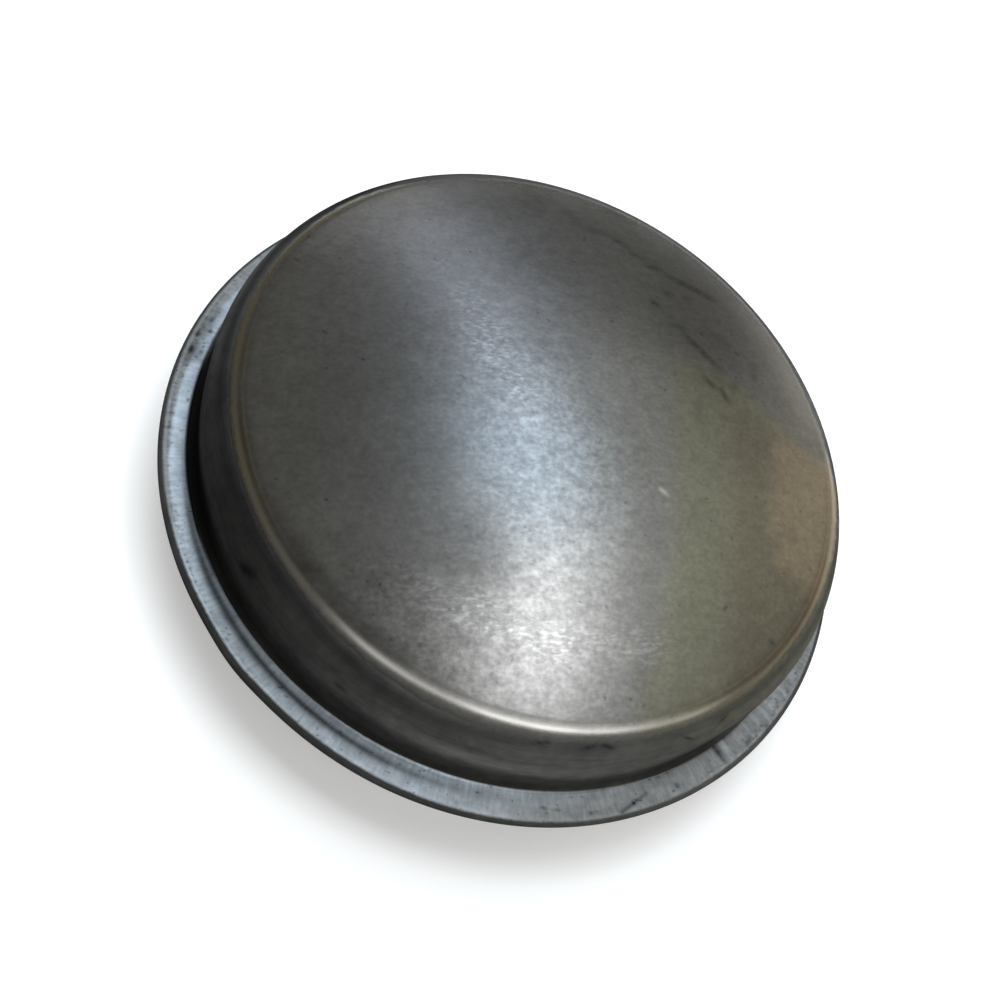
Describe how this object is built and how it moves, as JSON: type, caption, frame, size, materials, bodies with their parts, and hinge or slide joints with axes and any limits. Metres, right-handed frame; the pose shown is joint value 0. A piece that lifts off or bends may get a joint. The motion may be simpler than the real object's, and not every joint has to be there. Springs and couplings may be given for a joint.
{
  "type": "hub grease cap",
  "caption": "Round pressed-steel hub grease cap with a shallow domed crown, rounded shoulder, folded stop flange and a short press-in spigot that closes a wheel hub bore.",
  "frame": {"origin": "centre of the open mouth, in the plane of the spigot's lower lip", "axes": "+Z along the cap's axis, from the open mouth towards the crown"},
  "size_m": [0.07, 0.07, 0.0225],
  "materials": {
    "steel": "bare pressed steel, satin, with a fine grain, handling smudges and drawing marks on the flange"
  },
  "bodies": {
    "root": {"grease_cap": "steel"}
  },
  "joints": []
}
